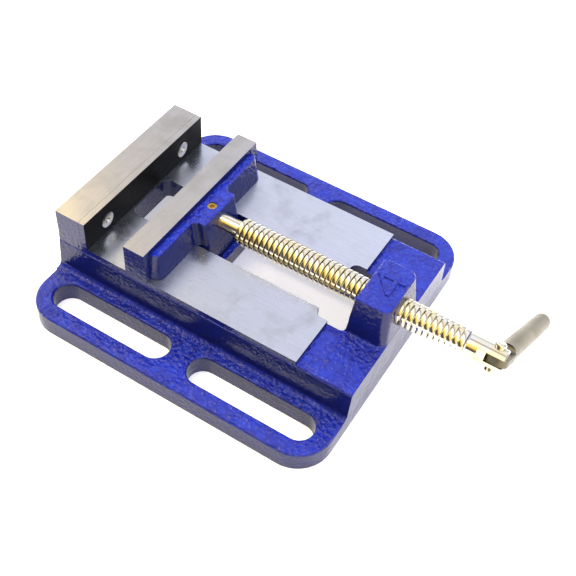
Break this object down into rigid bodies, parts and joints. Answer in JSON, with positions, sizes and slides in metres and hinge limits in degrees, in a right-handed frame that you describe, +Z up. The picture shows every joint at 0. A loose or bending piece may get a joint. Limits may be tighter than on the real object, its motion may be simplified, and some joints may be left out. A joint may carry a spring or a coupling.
{
  "type": "drill press vise",
  "caption": "Low cast vise for a drill press table: slotted flange, machined ways, fixed and sliding jaws, a screw through an end boss, and a short folding handle.",
  "frame": {"origin": "centre of the four hold-down slots, on the underside of the base", "axes": "+X along the screw towards the handle, +Y across the jaws, +Z up from the table"},
  "size_m": [0.2365, 0.17, 0.0533],
  "materials": {
    "enamel": "gloss blue enamel over cast iron, machined bright on the ways and jaw tops",
    "jaw_steel": "hardened steel, ground on the top edge and black on the face",
    "zinc": "bright zinc plate",
    "handle_steel": "satin plain steel"
  },
  "bodies": {
    "base": {"base_casting": "enamel", "fixed_jaw_plate": "jaw_steel", "fixed_jaw_screws": "zinc"},
    "movable_jaw": {"movable_jaw_casting": "enamel", "movable_jaw_plate": "jaw_steel", "movable_jaw_screws": "zinc", "retaining_screw": "zinc"},
    "spindle": {"spindle": "zinc", "handle_rivet": "zinc"},
    "handle": {"handle": "handle_steel"}
  },
  "joints": [
    {"name": "jaw_slide", "type": "slide", "parent": "base", "child": "movable_jaw", "axis": [1, 0, 0], "range_m": [-0.02445, 0.0776]},
    {"name": "spindle_turn", "type": "hinge", "parent": "movable_jaw", "child": "spindle", "pos_m": [-0.0338, 0, 0.0405], "axis": [1, 0, 0], "range_deg": [-2930, 9310]},
    {"name": "handle_fold", "type": "hinge", "parent": "spindle", "child": "handle", "pos_m": [0.1363, 0, 0.0405], "axis": [0, 0.4818, 0.8763], "range_deg": [-185.6, 14.4]}
  ],
  "couplings": [
    {"joint": "jaw_slide", "follows": "spindle_turn", "m_per_rad": 0.00047746}
  ]
}
